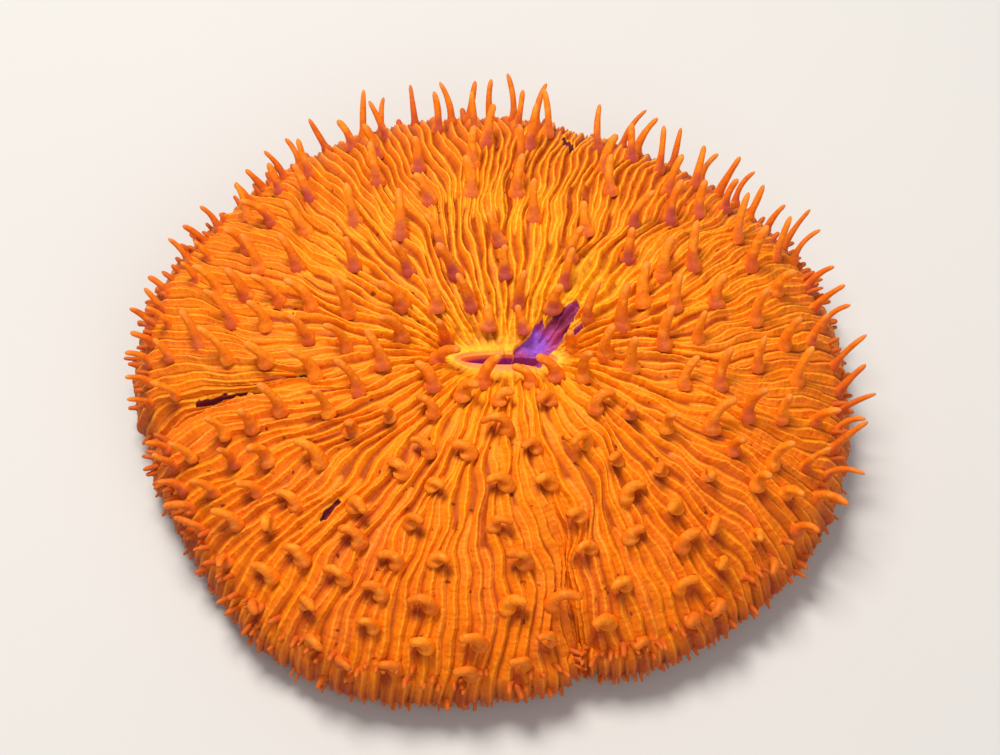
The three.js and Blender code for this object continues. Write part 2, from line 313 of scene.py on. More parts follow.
# Rings of points on the ridged skin. side is 1 on top and -1 underneath, and pastRim is each ring's
# distance beyond the rim's widest line.
def skinRings(radii, side, pastRim, columns, pairs=False):
    spots = columnSpots(columns, pairs)
    index = np.floor(spots).astype(int)
    share = spots - index
    radius = np.asarray(radii, float)[:, None]
    past = np.asarray(pastRim, float)[:, None]

    every = np.arange(ridgeCount)[None, :]
    ring = mix(19, outlineLength, radius)  # roughly the length of a ring
    crests = crestPlace(every) + ownWave(every, radius, flesh["wander"], 11) / ring
    rise = smooth(ridgeSign, ridgeSign + 0.03, radius)
    stood = smooth(ridgeStart, ridgeStart + ridges["fade"], radius)
    heights = mix(ridgeLow * rise, ridgeFull, stood) * (1 + ownWave(every, radius, flesh["beads"], 71))
    heights = heights * smooth(0.035, 0.09, radius)
    active = np.maximum(1, rise.sum(axis=1, keepdims=True))

    def crestOf(number):
        return crests[:, number % ridgeCount] + number // ridgeCount

    place = mix(crestOf(index), crestOf(index + 1), share)
    wide = np.broadcast_to(radius, place.shape)
    point = smoothPoint(place, wide, side)
    normal, metric = smoothNormal(place, wide, side)
    lean = flesh["leaning"] * np.cos(turn * (place + flesh["leaningPhase"]))
    width = flesh["ridgeShare"] * metric / active
    back = np.sin(turn * place)
    nearEdge, nearShare = flesh["fineNear"]
    farEdge, farFrom, farShare = flesh["fineFar"]
    finer = smooth(*flesh["fineFrom"], radius) * mix(nearShare, 1, smooth(*nearEdge, back))
    finer = finer * mix(1, farShare, smooth(*farEdge, back) * smooth(*farFrom, radius))
    wallUp = smooth(*flesh["wall"], past + 0.9 * scatter(index + 77)) * (1 - smooth(1.2, 2.2, past))

    total, crest, fold, band, weights = 0, 0, 0, 0, 1e-9
    for step in range(-6, 8):
        number = index + step
        own = number % ridgeCount
        away = (place - crestOf(number)) * metric
        reach = width * (1 - lean * np.sign(away))
        shape = np.exp(-((np.abs(away) / reach) ** flesh["ridgePower"]))
        broad = np.exp(-((away / (flesh["lowReach"] * width)) ** 2))
        height = heights[:, own] * mix(broad, shape, flesh["grooveShare"])
        total = total + height**4
        crest = np.maximum(crest, rise[:, own] * np.exp(-((away / flesh["crestLine"]) ** 2)))
        fold = np.maximum(fold, rise[:, own] * shape)
        weight = rise[:, own] * np.exp(-((away / (1.2 * width)) ** 4))
        band = band + weight * scatter(own + 40)
        weights = weights + weight
        between = (place - (crestOf(number) + crestOf(number + 1)) / 2) * metric
        beside = between + 0.3 * width * (scatter(own + 310) - 0.5)
        fine = finer * np.exp(-((np.abs(beside) / (flesh["fineWidth"] * width)) ** 1.8))
        total = total + (flesh["fineRidge"] * (0.75 + 0.5 * scatter(own + 350)) * fine) ** 4
        crest = np.maximum(crest, 0.6 * finer * np.exp(-((beside / flesh["crestLine"]) ** 2)))
        fold = np.maximum(fold, 0.8 * fine)
        small = wallUp * np.exp(-((np.abs(between) / (flesh["wallWidth"] * width)) ** 1.7))
        total = total + (flesh["wallRidge"] * (0.7 + 0.6 * scatter(own + 210)) * small) ** 4
        fold = np.maximum(fold, 0.8 * small)
    return {
        "point": point,
        "normal": normal,
        "height": total**0.25,
        "crest": crest,
        "fold": fold,
        "band": band / weights,
        "rim": smooth(-3.4, 0.4, past) * np.ones_like(place),
        "radius": wide,
        "ahead": 0.5 - 0.5 * back,
    }


# Where the flesh is gone and the skeleton shows: plan points in mm round the big tear, and then the
# small ones as two ends and half a width
tears = {
    "mouthTear": [
        (1.4, 1.4), (2.9, 2.9), (4.3, 4.6), (4.5, 3.4), (5.1, 4.4), (5.3, 5.9), (5.8, 5.2), (6.6, 5.6),
        (7.7, 6.3), (7.9, 5), (6.6, 3.2), (5.6, 1.5), (4.2, 0.7), (4, -0.5), (2.4, 0.2),
    ],
    "small": [
        ((6.8, 2.5), (7.8, 3.4), 0.3),
        ((-28.4, -2.3), (-24.6, -2.4), 0.28),
        ((-24.6, -2.4), (-21.6, -3.1), 0.2),
        ((-16.3, -15.9), (-14.9, -14.4), 0.3),
        ((-18.6, -1.6), (-16.6, -1.5), 0.16),
        ((-25.8, 8.2), (-19.4, 4.8), 0.06),
        ((6.6, 28.2), (7.2, 26.4), 0.4),
    ],
    "depth": 0.6,
    "grit": 0.1,
    "edge": 0.12,
    "ragged": 0.17,
    "raggedScale": 0.6,
}


# Signed distance to the torn places: below 0 where the skeleton is bare
def tearDistance(plan):
    corners = np.array(tears["mouthTear"], float)
    nextCorners = np.roll(corners, -1, axis=0)
    away = np.full(plan.shape[:-1], farOff)
    inside = np.zeros(plan.shape[:-1], bool)
    for a, b in zip(corners, nextCorners):
        away = np.minimum(away, lineDistance(plan, a, b))
        crosses = (a[1] > plan[..., 1]) != (b[1] > plan[..., 1])
        rise = b[1] - a[1] if b[1] != a[1] else 1e-9
        inside ^= crosses & (plan[..., 0] < a[0] + (plan[..., 1] - a[1]) * (b[0] - a[0]) / rise)
    away = np.where(inside, -away, away)
    for start, end, half in tears["small"]:
        away = np.minimum(away, lineDistance(plan, start, end) - half)
    scale = tears["raggedScale"]
    ragged = rollingNoise(plan, scale, 5) + 0.5 * rollingNoise(plan, 0.4 * scale, 17)
    return away + tears["ragged"] * ragged


# Lifts the ridges off the smooth disc, sinks the torn places and shapes the lip of the mouth
def raiseSkin(rings, side):
    plan = rings["point"][..., :2]
    radius = rings["radius"]
    fade = smooth(disc["footShare"], 1, radius) if side < 0 else 1
    point = rings["point"] + rings["normal"] * (rings["height"] * fade)[..., None]
    torn, spot = 0 * radius, 0 * radius
    if side > 0:
        spot = footShade(plan)
        torn = 1 - smooth(-tears["edge"], tears["edge"], tearDistance(plan))
        point[..., 2] -= torn * (tears["depth"] + tears["grit"] * rollingNoise(plan, 0.25, 3))
        lip = flesh["lipHeight"] * np.exp(-(((radius - 0.03) / 0.02) ** 2))
        point[..., 2] += lip * (1 - torn) - 0.2 * np.exp(-((radius / 0.008) ** 2))
        size, height = flesh["swell"]
        swell = height * rollingNoise(plan, size, 29)
        point[..., 2] += swell * smooth(0.05, 0.2, radius) * smooth(0, 0.05, 1 - radius)
    else:
        point[..., 2] = np.maximum(point[..., 2], 0)
    return {**rings, "point": point, "torn": torn, "spot": spot}


# Normals of a closed belt of points, ring by ring outwards
def beltNormals(points, side):
    around = np.roll(points, -1, axis=1) - np.roll(points, 1, axis=1)
    outward = np.gradient(points, axis=0)
    return unit(np.cross(outward, around) * side)


# Faces between two rings whose points stand at different spots
def stitchRings(inner, innerSpots, outer, outerSpots):
    faces = []
    innerCount, outerCount = len(innerSpots), len(outerSpots)
    innerSpots, outerSpots = [[*spots, spots[0] + ridgeCount] for spots in (innerSpots, outerSpots)]
    i, j = 0, 0
    while i < innerCount or j < outerCount:
        here, there = inner + i % innerCount, outer + j % outerCount
        if j == outerCount or (i < innerCount and innerSpots[i + 1] < outerSpots[j + 1]):
            i += 1
            faces.append((here, there, inner + i % innerCount))
        else:
            j += 1
            faces.append((here, there, outer + j % outerCount))
    return faces


def beltFaces(rings, columns, flip=False):
    ring, column = np.meshgrid(np.arange(rings - 1), np.arange(columns), indexing="ij")
    inner, outer, after = ring * columns, (ring + 1) * columns, (column + 1) % columns
    corners = [inner + column, outer + column, outer + after, inner + after]
    if flip:
        corners.reverse()
    return np.stack(corners, axis=-1).reshape(-1, 4).tolist()


# The tentacles stand where the solid has them
tentacles = {
    "innerRings": (0.05, 0.13, 0.21, 0.29),
    "outerRings": (0.3, 0.41, 0.52, 0.63, 0.74, 0.84, 0.92, 0.975),
    "firstRing": 2,  # the solid counts two rings of the throat before them
    "spacing": 2.85,
    "farSpacing": 1.3,
    "rimSpacing": 0.68,
    "clearance": 1.3,
    "length": 4.1,
    "leftShare": 0.65,  # of those on the near side arch to the left
    "drift": (-0.12, 0.42),  # how far the water leans them left and back
    "sides": 14,
    # share of the length, from inside the disc to the tip
    "steps": (
        -0.14, 0, 0.05, 0.11, 0.18, 0.27, 0.36, 0.45, 0.54, 0.63, 0.72, 0.8, 0.87, 0.925, 0.965, 0.99,
    ),
    "radius": 0.57,
    "rimThinning": 0.32,
    "taper": 0.38,
    "flare": 0.42,
    "roundTip": 0.84,
    "rimTaper": 0.1,
    "tipRounding": 0.9,  # their tips are round and the solid's are pointed, so they are shorter
    "reachPoints": (0.1, 0.32, 0.55, 0.78, 1),  # where the gap to the next tentacle is measured
    "footReach": 0.7,  # of the dark spot at the foot of each
}


def tentacleSites():
    found = []
    number = tentacles["firstRing"]
    for ringList, every in ((tentacles["innerRings"], 2), (tentacles["outerRings"], 1)):
        for low, high in zip(ringList, ringList[1:]):
            index = np.arange(0, ridgeCount, 2 * every)
            seed = 1000 * number + index
            radius = mix(low, high, 0.3 + 0.4 * scatter(seed))
            stands = crestHeight(index, radius) > 0.2
            found.append(np.stack([index, radius, seed], axis=-1)[stands])
            number += 1
        number += 1
    sites = np.concatenate(found)
    return sites[np.argsort(scatter(sites[:, 2] + 3000), kind="stable")]


def awayFromMouth(point):
    return unit(point * (1, 1, 0) - (*disc["mouth"], 0))


# Whether a place lies in the valley above a notch of the rim
def inValley(place, radius):
    swung = place + sway(place, radius)
    close = [nearness(swung, at, 1.3 * width) for at, depth, width, valley, gather in notches]
    return (radius > 0.5) & (np.max(close, axis=0) > 0.3)


def nearRim(radius):
    return smooth(0.72, 0.95, radius)


# How each tentacle leaves its root, which way it turns, how far it turns and how long it is
def tentacleLines(radius, seed, root, normal):
    outward = awayFromMouth(root)
    sideways = leftOf(outward)
    atMouth = 1 - smooth(0.05, 0.2, radius)
    overLip = atMouth * smooth(-0.4, 0.1, -outward[:, 1])
    atRim = nearRim(radius)
    near = smooth(0.2, 0.8, -outward[:, 1]) * (1 - atMouth)
    left = smooth(0.3, 0.9, -outward[:, 0])
    short = np.maximum(near * (0.15 + 0.3 * scatter(seed + 78)), 0.4 * (atMouth - overLip))
    short = np.maximum(short, atRim * np.maximum(0.42 * near, 0.35 * left))
    length = tentacles["length"] * (0.8 + 0.4 * scatter(seed + 70)) * (1 - short)
    free = (1 - near) * (1 - overLip) * (1 - 0.5 * atRim)
    bow = np.where(scatter(seed + 73) < tentacles["leftShare"], -1, 1)

    tilt = 0.5 * (scatter(seed + 71) - 0.5) * (1 - near) - 0.15 * near * bow
    away = 0.8 - 0.4 * free - 0.3 * near * (1 - atRim)
    stand = normal * away[:, None] - 0.3 * outward * overLip[:, None]
    stand[:, 0] += tentacles["drift"][0] * free
    stand[:, 1] += tentacles["drift"][1] * (free + 1.2 * near)
    stand[:, 2] += 0.5
    stand = unit(stand + tilt[:, None] * sideways)
    bending = 0.35 + 1.9 * near + (0.8 + 0.1 * near) * scatter(seed + 72)
    turned = 1.5 * (scatter(seed + 73) - 0.5) * (1 - near) + near * bow
    over = outward * (1 - 1.9 * overLip - 0.75 * near)[:, None] + turned[:, None] * sideways
    return stand, squareTo(stand, over), bending, length


# Points of the bent middle line of each body, at shares t of its length
def arcPoint(root, stand, over, bending, length, t):
    angle = bending * t
    return root + length / bending * (np.sin(angle) * stand + (1 - np.cos(angle)) * over)


# They stand no nearer to each other than their spacing, and don't touch. They leave the bare hollow
# and the valleys free.
def tentacleLayout():
    sites = tentacleSites()
    index, radius = sites[:, 0].astype(int), sites[:, 1]
    place = crestPlace(index)
    normal, metric = smoothNormal(place, radius, 1)
    root = smoothPoint(place, radius, 1) + normal * crestHeight(index, radius)[:, None]
    sunk = hollowDepth(root[:, :2])
    root[:, 2] -= sunk
    back = awayFromMouth(root)[:, 1]
    spread = 1 - 0.25 * (1 - smooth(0.08, 0.2, radius))
    midway = smooth(0.3, 0.5, radius) * (1 - nearRim(radius))
    spread += (tentacles["farSpacing"] - 1) * smooth(0.2, 0.8, back) * midway
    spread += (tentacles["rimSpacing"] - 1) * smooth(-0.7, -0.3, back) * smooth(0.88, 0.94, radius)
    stand, over, bending, length = lines = tentacleLines(radius, sites[:, 2], root, normal)
    columns = [values[:, None, None] for values in (bending, length)]
    t = np.array(tentacles["reachPoints"])[None, :, None]
    reach = arcPoint(root[:, None], stand[:, None], over[:, None], *columns, t)
    free = (sunk < 0.05) & ~inValley(place, radius)
    chosen = []
    for n in np.where(free)[0]:
        near = [k for k in chosen if np.linalg.norm(root[k] - root[n]) < 9]
        room = tentacles["spacing"] * spread[n]
        crowded = any(np.linalg.norm(root[k] - root[n]) < room for k in near)
        gaps = [np.linalg.norm(reach[k][:, None] - reach[n][None], axis=-1).min() for k in near]
        if not crowded and min(gaps, default=9) >= tentacles["clearance"]:
            chosen.append(n)
    return radius[chosen], sites[chosen, 2], root[chosen], [values[chosen] for values in lines]


layout = tentacleLayout()


def onNearSide(root, radius):
    return smooth(0.2, 0.8, -awayFromMouth(root)[:, 1]) * smooth(0.05, 0.3, radius)


# How dark the skin is at the foot of each tentacle: a dark blotch, and on the near side a painted
# shadow under its arch
def footShade(plan):
    radius, seed, root, (stand, over, bending, length) = layout
    tip = arcPoint(root, stand, over, bending[:, None], length[:, None], 1)
    near = onNearSide(root, radius)
    feet = root[:, :2] + mix(np.array([[0, -0.4]]), (tip - root)[:, :2] * 0.55, near[:, None])
    strength = mix(0.25 + 0.6 * scatter(seed + 77), 0.85 + 0.15 * scatter(seed + 77), near)
    shade = np.zeros(plan.shape[:-1])
    for foot, share in zip(feet, strength):
        away = np.linalg.norm(plan - foot, axis=-1) / tentacles["footReach"]
        shade = np.maximum(shade, share * np.exp(-(away**2)))
    return shade


# A mesh from points in millimetres, with its own normals and named values at its points
def makePiece(name, points, faces, normals=None, values=None):
    mesh = bpy.data.meshes.new(name)
    mesh.from_pydata((np.asarray(points) * mm).tolist(), [], faces)
    mesh.polygons.foreach_set("use_smooth", np.ones(len(mesh.polygons), bool))
    for key, data in (values or {}).items():
        attribute = mesh.attributes.new(key, "FLOAT", "POINT")
        attribute.data.foreach_set("value", np.asarray(data, np.float32).ravel())
    mesh.update()
    if normals is not None:
        mesh.normals_split_custom_set_from_vertices(np.asarray(normals).tolist())
    piece = bpy.data.objects.new(name, mesh)
    bpy.context.scene.collection.objects.link(piece)
    triangles = sum(len(face) - 2 for face in faces)
    print(f"{name}: {triangles} triangles")
    return piece


shown = ("crest", "fold", "band", "rim", "radius", "torn", "ahead", "spot")


def flat(rings, key):
    return rings[key].reshape(-1, *rings[key].shape[2:])


# Rings a set distance apart along a side of the disc, closer together near the rim: the radius of
# each and its distance past the rim. The gap widens between two distances, in reaches of the rim.
def spacedRings(radius, rise, outward, widens):
    run = discRadius * radius
    arc = np.concatenate([[0], np.cumsum(np.hypot(np.diff(run), np.diff(rise)))])
    past = arc - arc[-1] if outward else arc
    share = smooth(*widens, np.abs(past) / flesh["rimReach"])
    gap = mix(flesh["rimRingGap"], flesh["ringGap"], share)
    count = np.concatenate([[0], np.cumsum(np.diff(arc) / gap[1:])])
    steps = np.linspace(0, count[-1], int(count[-1]) + 1)
    return np.interp(steps, count, radius), np.interp(steps, count, past)


def topRings():
    radius = np.linspace(flesh["seam"], 1, 4000)
    return spacedRings(radius, domeTop(np.full_like(radius, 0.12), radius), True, (1, 2.5))


def underRings():
    radius = np.linspace(1, flesh["underTurn"], 400)
    radii, past = spacedRings(radius, bevelHeight(radius), False, (0.6, 1.5))
    return radii[1:], past[1:]


def joinRings(*parts):
    return {key: np.concatenate([part[key] for part in parts]) for key in parts[0]}


def skinPart(radii, side, pastRim, columns, pairs=False):
    return raiseSkin(skinRings(radii, side, pastRim, columns, pairs), side)


# The outer field of ridges, and the rim down and round to the underside
def makeMargin():
    columns = flesh["columns"]
    radii, past = topRings()
    top = skinPart([2 * radii[0] - radii[1], *radii], 1, [past[0], *past], columns)
    underRadii, underPast = underRings()
    ends = [*underRadii, 2 * underRadii[-1] - underRadii[-2]]
    rings = joinRings(top, skinPart(ends, -1, [*underPast, underPast[-1]], columns))
    rings["normals"] = beltNormals(rings["point"], 1)
    rings = {key: data[1:-1] for key, data in rings.items()}
    split = int(np.argmax(past > flesh["wall"][0]))
    pieces = []
    for name, part in (("coral_margin", slice(0, split + 1)), ("coral_rim", slice(split, None))):
        cut = {key: data[part] for key, data in rings.items()}
        faces = beltFaces(*cut["radius"].shape)
        values = {key: flat(cut, key) for key in shown}
        pieces.append(makePiece(name, flat(cut, "point"), faces, flat(cut, "normals"), values))
    return pieces, rings


# The middle of the disc, with the mouth
crown = {
    "ringGap": 0.13,
    "throat": ((0.12, 1), (0.4, 0.92), (0.66, 0.72), (0.82, 0.45), (0.92, 0.22), (0.98, 0.1)),
}


def makeCrown(margin):
    columns = flesh["pairColumns"]
    count = int(flesh["seam"] * discRadius / crown["ringGap"])
    radii = flesh["seam"] * np.linspace(0, 1, count + 1) ** 1.12
    rings = skinPart(radii[:-1], 1, np.full(count, -farOff), columns, pairs=True)

    centre = np.array([*disc["mouth"], 0])
    lip = rings["point"][0]
    throat = []
    for share, depth in crown["throat"]:
        ring = mix(centre, lip, share)
        ring[:, 2] = lip[:, 2] - disc["mouthDepth"] * depth
        throat.append(ring)
    inner = {key: np.repeat(data[:1], len(throat), axis=0) for key, data in rings.items()}
    inner["point"] = np.array(throat)
    inner["radius"] = inner["radius"] - np.array([[depth] for share, depth in crown["throat"]])
    rings = joinRings(inner, rings)

    last = {key: data[0] for key, data in margin.items()}
    spots, outerSpots = columnSpots(columns, pairs=True), columnSpots(flesh["columns"])
    beyond = np.transpose([np.interp(spots, outerSpots, line) for line in last["point"].T])
    normals = beltNormals(np.concatenate([rings["point"], beyond[None]]), 1)[:-1]

    rows, across = rings["radius"].shape
    bottom = mix(rings["point"][0, 0], rings["point"][0, across // 2], 0.5)
    points = np.concatenate([flat(rings, "point"), last["point"], [bottom]])
    normals = np.concatenate([normals.reshape(-1, 3), last["normals"], [[0, 0, 1]]])
    faces = beltFaces(rows, across)
    faces += stitchRings((rows - 1) * across, spots, rows * across, outerSpots)
    faces += [(len(points) - 1, k, (k + 1) % across) for k in range(across)]
    values = {key: np.concatenate([flat(rings, key), last[key], [rings[key][0, 0]]]) for key in shown}
    return makePiece("coral_crown", points, faces, normals, values)


# The shallow bevel and the flat foot, which nothing of the photograph shows
underside = {
    "radii": (0.9, 0.87, 0.84, 0.81, 0.78, 0.75, 0.72, 0.69, 0.66, 0.63, 0.6, 0.4, 0.2),
}


def makeUnderside(margin):
    radii = underside["radii"]
    start = {key: data[-1:] for key, data in margin.items() if key != "normals"}
    rings = joinRings(start, skinPart(radii, -1, np.full(len(radii), farOff), flesh["columns"]))
    normals = beltNormals(rings["point"], 1)
    normals[0] = margin["normals"][-1]
    rows, across = rings["radius"].shape
    points = np.concatenate([flat(rings, "point"), [[0, 0, 0]]])
    normals = np.concatenate([normals.reshape(-1, 3), [[0, 0, -1]]])
    faces = beltFaces(rows, across)
    first = (rows - 1) * across
    faces += [(rows * across, first + (k + 1) % across, first + k) for k in range(across)]
    values = {key: np.append(flat(rings, key), 0) for key in shown}
    return makePiece("coral_underside", points, faces, normals, values)


(marginPiece, rimPiece), marginRings = makeMargin()
crownPiece = makeCrown(marginRings)
undersidePiece = makeUnderside(marginRings)
print("disc made")

# Round bent bodies, all in one piece. Each has a root, a direction, a direction it turns to, an
# angle, a length and a radius, and shape says how they thin out.
def makeTubes(name, root, stand, over, bending, length, thick, seed, shape, values):
    steps, sides = np.array(shape["steps"]), shape["sides"]
    t = np.maximum(steps, 0)[None, :, None]
    bend, reach = bending[:, None, None], length[:, None, None]
    stand, over = stand[:, None], over[:, None]
    centre = arcPoint(root[:, None], stand, over, bend, reach, t)
    centre = centre + np.minimum(steps, 0)[None, :, None] * reach * stand
    front = np.cos(bend * t) * over - np.sin(bend * t) * stand
    side = np.cross(stand, over) * np.ones_like(front)
    apex = arcPoint(root[:, None], stand, over, bend, reach, 1)[:, 0]

    along = np.maximum(steps, 0)[None, :]
    capped = np.clip((along - shape["roundTip"]) / (1 - shape["roundTip"]), 0, 1)
    taper = shape["taper"] + tentacles["rimTaper"] * values["rim"][:, None]
    profile = (1 - taper * along) * (1 + shape["flare"] * np.exp(-along / 0.07))
    profile = thick[:, None] * profile * np.sqrt(1 - capped**2)
    angle = turn * np.arange(sides) / sides
    ownTurn = turn * scatter(seed + 75)[:, None, None]
    lump = 1 + 0.06 * np.sin(2 * angle + ownTurn + 8 * along[..., None])
    around = np.cos(angle)[:, None] * front[:, :, None] + np.sin(angle)[:, None] * side[:, :, None]
    points = centre[:, :, None] + (profile[..., None] * lump)[..., None] * around

    count, rows = len(seed), len(steps)
    block = rows * sides + 1
    allPoints = np.concatenate([points.reshape(count, -1, 3), apex[:, None]], axis=1).reshape(-1, 3)
    one = beltFaces(rows, sides, flip=True)
    last = (rows - 1) * sides
    one += [(last + k, last + (k + 1) % sides, rows * sides) for k in range(sides)]
    faces = [tuple(v + n * block for v in face) for n in range(count) for face in one]

    full = (count, rows, sides)
    values = {key: np.broadcast_to(data[:, None, None], full) for key, data in values.items()}
    values["along"] = np.broadcast_to(along[..., None], full)
    values["front"] = np.broadcast_to(-around[..., 1], full)
    values["inside"] = np.broadcast_to(np.cos(angle), full)
    for key, data in values.items():
        end = np.full((count, 1), 1.0) if key == "along" else data[:, -1, :1]
        values[key] = np.concatenate([data.reshape(count, -1), end], axis=1)
    return makePiece(name, allPoints, faces, None, values)


def makeTentacles():
    radius, seed, root, lines = layout
    near = onNearSide(root, radius)
    thinner = tentacles["rimThinning"] * nearRim(radius) * (1 - near)
    thick = tentacles["radius"] * (0.85 + 0.3 * scatter(seed + 74)) * (1 - thinner)
    length = lines[3] * mix(tentacles["tipRounding"], 1, nearRim(radius))
    far = smooth(0.3, 0.8, awayFromMouth(root)[:, 1]) * (1 - smooth(0.88, 0.94, radius))
    values = {"own": scatter(seed + 76), "rim": smooth(0.9, 1, radius), "near": near, "far": far}
    return makeTubes("coral_tentacles", root, *lines[:3], length, thick, seed, tentacles, values)


# Short fingers that the ridges end in above the rim, and the comb of small teeth under them
fingers = {
    "radius": (0.945, 1),
    # share of the places that have one, and what the far, near and left side add to it
    "crowding": (0.45, -0.35, 0.4, 0.35),
    "length": (0.8, 1.8),
    "thickness": 0.33,
    "rise": (0.2, 0.4),  # on the far side and on the near side
    "bending": 0.8,
    "sides": 8,
    "steps": (-0.3, 0, 0.08, 0.2, 0.36, 0.52, 0.68, 0.8, 0.9, 0.97),
    "taper": 0.25,
    "flare": 0.5,
    "roundTip": 0.75,
}
teeth = {
    "radius": (1, 0.975),
    "length": (0.8, 1.5),
    "thickness": 0.21,
    "rise": (-0.35, -0.35),
    "bending": 0.4,
    "sides": 6,
    "steps": (-0.4, 0, 0.3, 0.6, 0.85),
    "taper": 0.3,
    "flare": 0.1,
    "roundTip": 0.8,
}


def makeFringe(name, kind, index, side, seed):
    radius = mix(*kind["radius"], scatter(seed))
    place = crestPlace(index)
    normal, metric = smoothNormal(place, radius, side)
    root = smoothPoint(place, radius, side) + normal * 0.3
    stand = normal + 0.5 * (scatter(seed + 1) - 0.5)[:, None] * leftOf(normal)
    stand[:, 2] += mix(*kind["rise"], smooth(0.1, 0.7, -np.sin(turn * place)))
    stand = unit(stand)
    over = squareTo(stand, 0.3 * normal - (0, 0, 1))
    length = mix(*kind["length"], scatter(seed + 2))
    thick = kind["thickness"] * (0.8 + 0.4 * scatter(seed + 3))
    bending = kind["bending"] * (0.6 + 0.8 * scatter(seed + 4))
    values = {"own": scatter(seed + 5), "rim": 1 + 0 * place, "near": 0 * place, "far": 0 * place}
    return makeTubes(name, root, stand, over, bending, length, thick, seed, kind, values)


def makeFingers():
    index = np.arange(2 * ridgeCount) / 2
    angle = turn * index / ridgeCount
    usual, far, near, left = fingers["crowding"]
    share = usual + far * smooth(0.3, 0.8, np.sin(angle)) + near * smooth(0.2, 0.7, -np.sin(angle))
    share = share + left * smooth(0.6, 0.9, -np.cos(angle))
    chosen = index[scatter(2 * index + 7100) < share]
    return makeFringe("coral_rim_fingers", fingers, chosen, 1, 7200 + 20 * chosen)


def makeTeeth():
    index = np.arange(3 * ridgeCount) / 3
    return makeFringe("coral_rim_teeth", teeth, index, -1, 8300 + 30 * index)


tentaclePiece = makeTentacles()
fingerPiece = makeFingers()
toothPiece = makeTeeth()
print("tentacles made")


# A node socket in an expression. Adding, multiplying and so on makes the Math nodes.
class Wire:
    def __init__(self, graph, socket):
        self.graph = graph
        self.socket = socket

    def __add__(self, other):
        return self.graph.maths("ADD", self, other)

    def __sub__(self, other):
        return self.graph.maths("SUBTRACT", self, other)

    def __rsub__(self, other):
        return self.graph.maths("SUBTRACT", other, self)

    def __mul__(self, other):
        return self.graph.maths("MULTIPLY", self, other)

    def __pow__(self, other):
        return self.graph.maths("POWER", self, other)

    __radd__, __rmul__ = __add__, __mul__

    def clamp(self):
        return self.graph.maths("ADD", self, 0, use_clamp=True)

    # 0 below low, 1 above high, and smooth in between
    def between(self, low, high):
        inputs = {"Value": self, "From Min": low, "From Max": high}
        settings = {"interpolation_type": "SMOOTHSTEP"}
        return self.graph.add("ShaderNodeMapRange", settings, inputs, "Result")


class Graph:
    def __init__(self, name):
        self.material = bpy.data.materials.new(name)
        self.material.use_nodes = True
        self.tree = self.material.node_tree
        self.tree.nodes.clear()

    # Any node: its settings first, then the values or wires of its sockets. Gives the named output.
    def add(self, kind, settings=None, inputs=None, output=0):
        node = self.tree.nodes.new(kind)
        for key, value in (settings or {}).items():
            setattr(node, key, value)
        for key, value in (inputs or {}).items():
            if isinstance(value, Wire):
                self.tree.links.new(value.socket, node.inputs[key])
            else:
                node.inputs[key].default_value = value
        return Wire(self, node.outputs[output]) if node.outputs else node

    def maths(self, operation, first, second, use_clamp=False):
        settings = {"operation": operation, "use_clamp": use_clamp}
        return self.add("ShaderNodeMath", settings, {0: first, 1: second})

    def value(self, name):
        return self.add("ShaderNodeAttribute", {"attribute_name": name}, output="Fac")

    # Colours are red, green and blue from 0 to 255, or the wire of another mix
    def blend(self, share, first, second):
        settings = {"data_type": "RGBA", "clamp_factor": True}
        colours = [c if isinstance(c, Wire) else (*rgb(c), 1) for c in (first, second)]
        return self.add("ShaderNodeMix", settings, {0: share, 6: colours[0], 7: colours[1]}, 2)

    # Paints layers over a colour, each with its share and the name of its colour
    def paint(self, under, colours, layers):
        colour = colours[under] if isinstance(under, str) else under
        for share, name in layers:
            colour = self.blend(share, colour, colours[name])
        return colour

    # Mottling of a size in millimetres, from 0 to 1
    def mottle(self, size, detail=2.0):
        place = self.add("ShaderNodeTexCoord", output="Object")
        inputs = {"Vector": place, "Scale": 1 / (size * mm), "Detail": detail}
        return self.add("ShaderNodeTexNoise", None, inputs, "Fac")

    # 1 at a place of the object and 0 beyond a reach, both in millimetres
    def spot(self, middle, reach):
        place = self.add("ShaderNodeTexCoord", output="Object")
        inputs = {0: place, 1: tuple(value * mm for value in middle)}
        away = self.add("ShaderNodeVectorMath", {"operation": "DISTANCE"}, inputs, "Value")
        return 1 - away.between(0.15 * reach * mm, reach * mm)

    # Ends the material in one shader with a bump of a depth in millimetres
    def finish(self, colour, bump, depth, roughness, fixed, glow=None):
        inputs = {"Height": bump, "Distance": depth * mm, "Strength": 1.0}
        normal = self.add("ShaderNodeBump", None, inputs, "Normal")
        sockets = {"Base Color": colour, "Roughness": roughness, "Normal": normal, **fixed}
        if glow is not None:
            sockets["Emission Color"] = glow
        shader = self.add("ShaderNodeBsdfPrincipled", None, sockets)
        self.add("ShaderNodeOutputMaterial", None, {"Surface": shader})
        return self.material


# The flesh emits its own colour faintly: a painted glow, for its fluorescence
fleshFinish = {
    "Subsurface Weight": 0.22,
    "Subsurface Radius": (1.0, 0.45, 0.1),
    "Subsurface Scale": 0.4 * mm,
    "Emission Strength": 0.08,
    "Specular IOR Level": 0.14,
}

